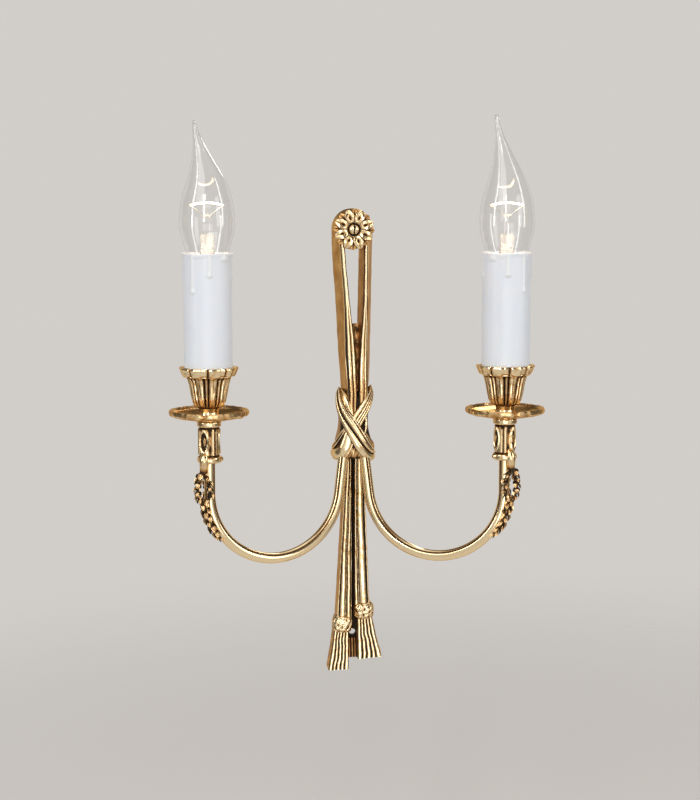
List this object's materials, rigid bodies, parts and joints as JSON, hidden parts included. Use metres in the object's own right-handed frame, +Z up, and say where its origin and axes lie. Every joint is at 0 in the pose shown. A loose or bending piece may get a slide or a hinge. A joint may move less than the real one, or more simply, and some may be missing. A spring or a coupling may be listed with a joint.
{
  "type": "candle wall light",
  "caption": "Brass wall light cast as a knotted ribbon with a rosette and tassels, its bowed arms carrying fluted cups, white candle tubes and bent-tip lamps.",
  "frame": {"origin": "on the wall plane, midway between the two fixing holes", "axes": "+X to the right as seen from the room, +Y into the wall, +Z up"},
  "size_m": [0.2406, 0.0808, 0.3678],
  "materials": {
    "cast_brass": "polished antique cast brass with dark patina in the recesses",
    "polished_brass": "polished lacquered brass",
    "turned_brass": "plain machined brass",
    "candle_white": "satin white with moulded wax drips",
    "clear_glass": "clear thin glass",
    "mount_glass": "clear pressed glass",
    "lamp_cap_metal": "rolled thread",
    "black_glass": "fused black insulator",
    "solder": "dull solder",
    "lead_wire": "drawn nickel wire",
    "filament": "glowing coiled wire",
    "holder_plastic": "moulded phenolic",
    "block_plastic": "moulded nylon",
    "steel": "zinc plated",
    "brown_insulation": "smooth insulation",
    "blue_insulation": "smooth insulation"
  },
  "bodies": {
    "fixture": {"ribbon_casting": "cast_brass", "rosette": "cast_brass", "rosette_screw": "polished_brass", "terminal_block": "block_plastic", "terminal_poles": "turned_brass", "terminal_screws": "steel", "terminal_fixing_screw": "steel", "earth_tag": "turned_brass", "earth_screw": "steel", "arm_left": "polished_brass", "arm_locknut_left": "turned_brass", "leaf_sleeve_left": "cast_brass", "nipple_left": "turned_brass", "drip_pan_left": "polished_brass", "candle_cup_left": "cast_brass", "cup_nut_left": "turned_brass", "lampholder_body_left": "holder_plastic", "lampholder_shell_left": "turned_brass", "lampholder_contact_left": "turned_brass", "wire_live_left": "brown_insulation", "wire_neutral_left": "blue_insulation", "arm_right": "polished_brass", "arm_locknut_right": "turned_brass", "leaf_sleeve_right": "cast_brass", "nipple_right": "turned_brass", "drip_pan_right": "polished_brass", "candle_cup_right": "cast_brass", "cup_nut_right": "turned_brass", "lampholder_body_right": "holder_plastic", "lampholder_shell_right": "turned_brass", "lampholder_contact_right": "turned_brass", "wire_live_right": "brown_insulation", "wire_neutral_right": "blue_insulation"},
    "candle_left": {"candle_tube_left": "candle_white"},
    "lamp_seat_left": {"lamp_contact_left": "solder", "lamp_insulator_left": "black_glass"},
    "lamp_left": {"lamp_cap_left": "lamp_cap_metal", "lamp_glass_left": "clear_glass", "lamp_stem_left": "mount_glass", "lamp_leads_left": "lead_wire", "lamp_filament_left": "filament"},
    "candle_right": {"candle_tube_right": "candle_white"},
    "lamp_seat_right": {"lamp_contact_right": "solder", "lamp_insulator_right": "black_glass"},
    "lamp_right": {"lamp_cap_right": "lamp_cap_metal", "lamp_glass_right": "clear_glass", "lamp_stem_right": "mount_glass", "lamp_leads_right": "lead_wire", "lamp_filament_right": "filament"}
  },
  "joints": [
    {"name": "candle_turn_left", "type": "hinge", "parent": "fixture", "child": "candle_left", "pos_m": [-0.0945, -0.055, 0], "axis": [0, 0, 1], "continuous": true},
    {"name": "lamp_rise_left", "type": "slide", "parent": "fixture", "child": "lamp_seat_left", "axis": [0, 0, 1], "range_m": [0, 0.01131]},
    {"name": "lamp_turn_left", "type": "hinge", "parent": "lamp_seat_left", "child": "lamp_left", "pos_m": [-0.0945, -0.055, 0], "axis": [0, 0, 1], "range_deg": [0, 1440]},
    {"name": "candle_turn_right", "type": "hinge", "parent": "fixture", "child": "candle_right", "pos_m": [0.0945, -0.055, 0], "axis": [0, 0, 1], "continuous": true},
    {"name": "lamp_rise_right", "type": "slide", "parent": "fixture", "child": "lamp_seat_right", "axis": [0, 0, 1], "range_m": [0, 0.01131]},
    {"name": "lamp_turn_right", "type": "hinge", "parent": "lamp_seat_right", "child": "lamp_right", "pos_m": [0.0945, -0.055, 0], "axis": [0, 0, 1], "range_deg": [0, 1440]}
  ],
  "couplings": [
    {"joint": "lamp_rise_left", "follows": "lamp_turn_left", "m_per_rad": 0.00044913},
    {"joint": "lamp_rise_right", "follows": "lamp_turn_right", "m_per_rad": 0.00044913}
  ]
}
